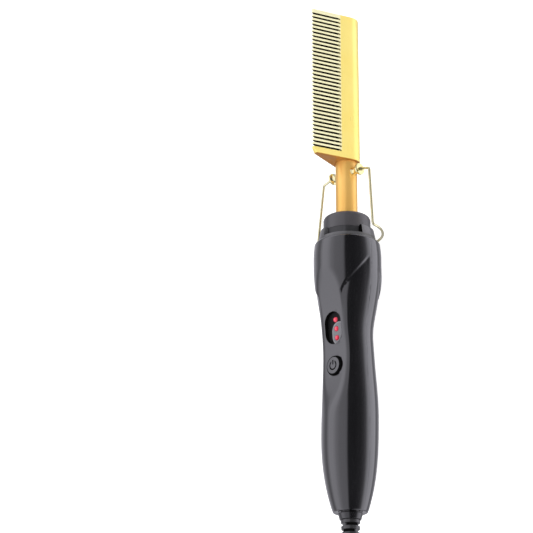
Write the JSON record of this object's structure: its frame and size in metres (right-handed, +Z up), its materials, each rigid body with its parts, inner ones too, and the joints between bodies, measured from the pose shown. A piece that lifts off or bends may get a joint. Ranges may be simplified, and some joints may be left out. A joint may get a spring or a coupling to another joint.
{
  "type": "electric pressing comb",
  "caption": "Electric pressing comb: heated gold comb head on a round neck with a folding wire stand, black two-part handle with power button and lamps, swivel cord.",
  "frame": {"origin": "on the surface that the tool lies on, under the middle of its length from the strain relief's end to the comb's free end, on its mirror plane", "axes": "+X along the tool towards the comb's free end, +Z up, the way the teeth and the power button point, +Y to the tool's left side as seen from the tail with the teeth up"},
  "size_m": [0.6485, 0.0456, 0.0462],
  "materials": {
    "gold_plate": "polished gold-coloured plating",
    "neck_gold": "polished, warm gold",
    "stand_steel": "bright drawn wire, pale gold plated",
    "boss_steel": "pale gold plated",
    "heater_steel": "plain",
    "sensor_glass": "bead sealed in glass",
    "heat_plastic": "heat-resistant moulding",
    "black_plastic": "high gloss",
    "window_plastic": "clear smoked, glossy",
    "lamp_red": "clear red lamp",
    "button_plastic": "glossy",
    "switch_plastic": "matte",
    "board_green": "solder mask",
    "component_black": "matte",
    "capacitor_blue": "sleeved",
    "fuse_tan": "varnished",
    "screw_steel": "zinc plated",
    "spring_brass": "bright strip",
    "lead_insulation": "woven glass and silicone",
    "mains_insulation": "smooth",
    "black_rubber": "soft satin",
    "tie_strap": "hook and loop strap",
    "pin_nickel": "nickel plated"
  },
  "bodies": {
    "tool": {"comb_head": "gold_plate", "heater_rod": "heater_steel", "temperature_sensor": "sensor_glass", "heater_leads": "lead_insulation", "sensor_lead": "lead_insulation", "comb_screw": "screw_steel", "neck_tube": "neck_gold", "neck_clip": "screw_steel", "neck_bush": "heat_plastic", "stand_bosses": "boss_steel", "collar_cap": "black_plastic", "collar_base": "black_plastic", "front_shell": "black_plastic", "rear_shell": "black_plastic", "window_lens": "window_plastic", "led_1": "lamp_red", "led_2": "lamp_red", "led_3": "lamp_red", "button_switch": "switch_plastic", "control_board": "board_green", "triac": "component_black", "capacitor": "capacitor_blue", "controller_chip": "component_black", "thermal_fuse": "fuse_tan", "board_screws": "screw_steel", "shell_screws": "screw_steel", "mains_leads": "mains_insulation", "contact_block": "heat_plastic", "contact_springs": "spring_brass", "power_cord": "black_rubber", "cord_hank": "black_rubber", "hank_tie": "tie_strap", "plug_body": "black_rubber", "plug_pins": "pin_nickel"},
    "stand": {"wire_stand": "stand_steel"},
    "button": {"power_button": "button_plastic"},
    "swivel": {"swivel_body": "black_rubber", "slip_rings": "spring_brass", "strain_relief": "black_rubber"}
  },
  "joints": [
    {"name": "stand_pivot", "type": "hinge", "parent": "tool", "child": "stand", "pos_m": [0.0658, 0, 0.01999], "axis": [0, -1, 0], "range_deg": [0, 130]},
    {"name": "power_button_press", "type": "slide", "parent": "tool", "child": "button", "axis": [0, 0, -1], "range_m": [0, 0.0005], "stiffness_N_per_m": 2000, "springref_m": -0.0003},
    {"name": "cord_swivel", "type": "hinge", "parent": "tool", "child": "swivel", "pos_m": [-0.13, 0, 0.01999], "axis": [1, 0, 0], "continuous": true}
  ]
}
